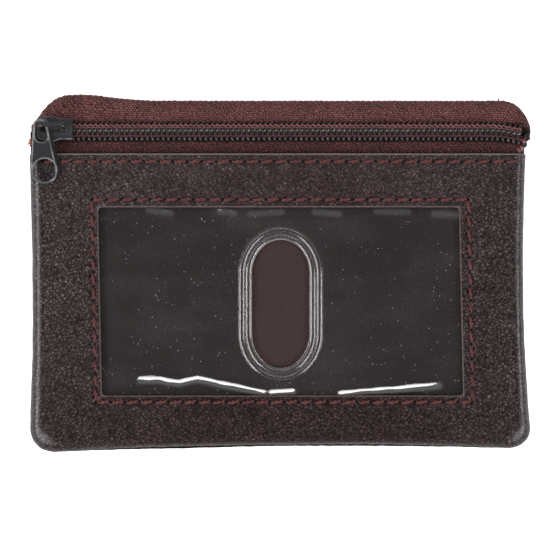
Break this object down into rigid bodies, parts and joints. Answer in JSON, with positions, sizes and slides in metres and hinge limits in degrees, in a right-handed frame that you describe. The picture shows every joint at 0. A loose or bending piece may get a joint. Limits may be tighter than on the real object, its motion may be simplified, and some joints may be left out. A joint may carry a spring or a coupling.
{
  "type": "coin pouch wallet",
  "caption": "Flat zipped leather coin pouch with a clear card window and thumb slot, lying on its back; the zip slider travels and its pull tab swings.",
  "frame": {"origin": "middle of the base of the bounding box, on the surface that the pouch lies on", "axes": "+X along the zip, the way the slider opens it; +Y towards the zip edge; +Z out of the window side"},
  "size_m": [0.1138, 0.0811, 0.0123],
  "materials": {
    "leather": "fine pebble grain, semi-matte, dark brown",
    "film": "clear flexible film, glossy",
    "lining": "fine dark brown lining cloth",
    "tape": "woven maroon zip tape",
    "coil": "black moulded filament",
    "cord": "dark cotton cord",
    "thread": "reddish-brown sewing thread",
    "slider_metal": "satin black paint over cast metal"
  },
  "bodies": {
    "pouch": {"front_panel": "leather", "back_panel": "leather", "window_film": "film", "pocket_lining": "lining", "back_lining": "lining", "zip_tape_upper": "tape", "zip_tape_lower": "tape", "zip_coil_upper": "coil", "zip_coil_lower": "coil", "filler_cord_upper": "cord", "filler_cord_lower": "cord", "coil_stitching_upper": "thread", "coil_stitching_lower": "thread", "front_edge_stitching": "thread", "back_edge_stitching": "thread", "window_stitching": "thread", "seam_thread": "thread"},
    "slider": {"slider_body": "slider_metal", "slider_bail": "slider_metal"},
    "puller": {"puller": "slider_metal"}
  },
  "joints": [
    {"name": "slider_travel", "type": "slide", "parent": "pouch", "child": "slider", "axis": [1, 0, 0], "range_m": [0, 0.098]},
    {"name": "puller_swing", "type": "hinge", "parent": "slider", "child": "puller", "pos_m": [-0.0537, 0.03344, 0.0106], "axis": [0, 0, 1], "range_deg": [-170, 40]}
  ]
}
